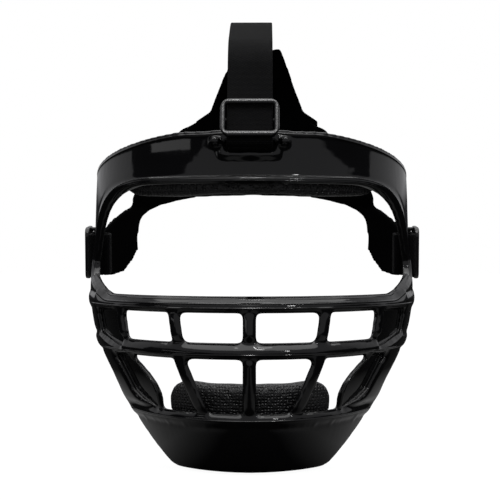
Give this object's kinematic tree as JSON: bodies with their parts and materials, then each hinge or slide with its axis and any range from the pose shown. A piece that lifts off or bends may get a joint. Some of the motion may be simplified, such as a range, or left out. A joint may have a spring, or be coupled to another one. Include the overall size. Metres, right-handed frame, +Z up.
{
  "type": "softball face guard",
  "caption": "Black moulded face guard with a barred cage, padded brow and chin, strap slides and a stretch harness over the crown and round the head",
  "frame": {"origin": "centre of the wearer's head at eye level, which is where the guard is held", "axes": "the face looks along -Y, +X is to the right as seen from the front, +Z is up"},
  "size_m": [0.2108, 0.2212, 0.2647],
  "materials": {
    "shell_plastic": "high gloss",
    "slide_plastic": "satin gloss",
    "webbing": "woven",
    "harness_fabric": "matte stretch knit",
    "pad_cover": "mesh knit",
    "pad_foam": "closed-cell foam",
    "hook_tape": "hook and loop",
    "thread": "sewing thread"
  },
  "bodies": {
    "guard": {"mask_shell": "shell_plastic", "top_strap": "webbing", "top_strap_return": "webbing", "left_side_strap": "webbing", "right_side_strap": "webbing", "left_strap_return": "webbing", "right_strap_return": "webbing", "rear_yoke": "harness_fabric", "left_arm": "harness_fabric", "right_arm": "harness_fabric", "brow_pad_cover": "pad_cover", "chin_pad_cover": "pad_cover", "brow_pad_foam": "pad_foam", "chin_pad_foam": "pad_foam", "brow_hook_strips": "hook_tape", "chin_hook_strips": "hook_tape", "crown_seam_stitches": "thread", "left_seam_stitches": "thread", "right_seam_stitches": "thread"},
    "crown_slide": {"top_slide": "slide_plastic"},
    "left_temple_slide": {"left_slide": "slide_plastic"},
    "right_temple_slide": {"right_slide": "slide_plastic"}
  },
  "joints": [
    {"name": "crown_strap_adjust", "type": "slide", "parent": "guard", "child": "crown_slide", "axis": [0, 0.4067, 0.9135], "range_m": [0, 0.022], "deforming": ["top_strap_return"]},
    {"name": "left_strap_adjust", "type": "slide", "parent": "guard", "child": "left_temple_slide", "axis": [0, 0.9962, 0.0872], "range_m": [0, 0.012], "deforming": ["left_strap_return"]},
    {"name": "right_strap_adjust", "type": "slide", "parent": "guard", "child": "right_temple_slide", "axis": [0, 0.9962, 0.0872], "range_m": [0, 0.012], "deforming": ["right_strap_return"]}
  ]
}
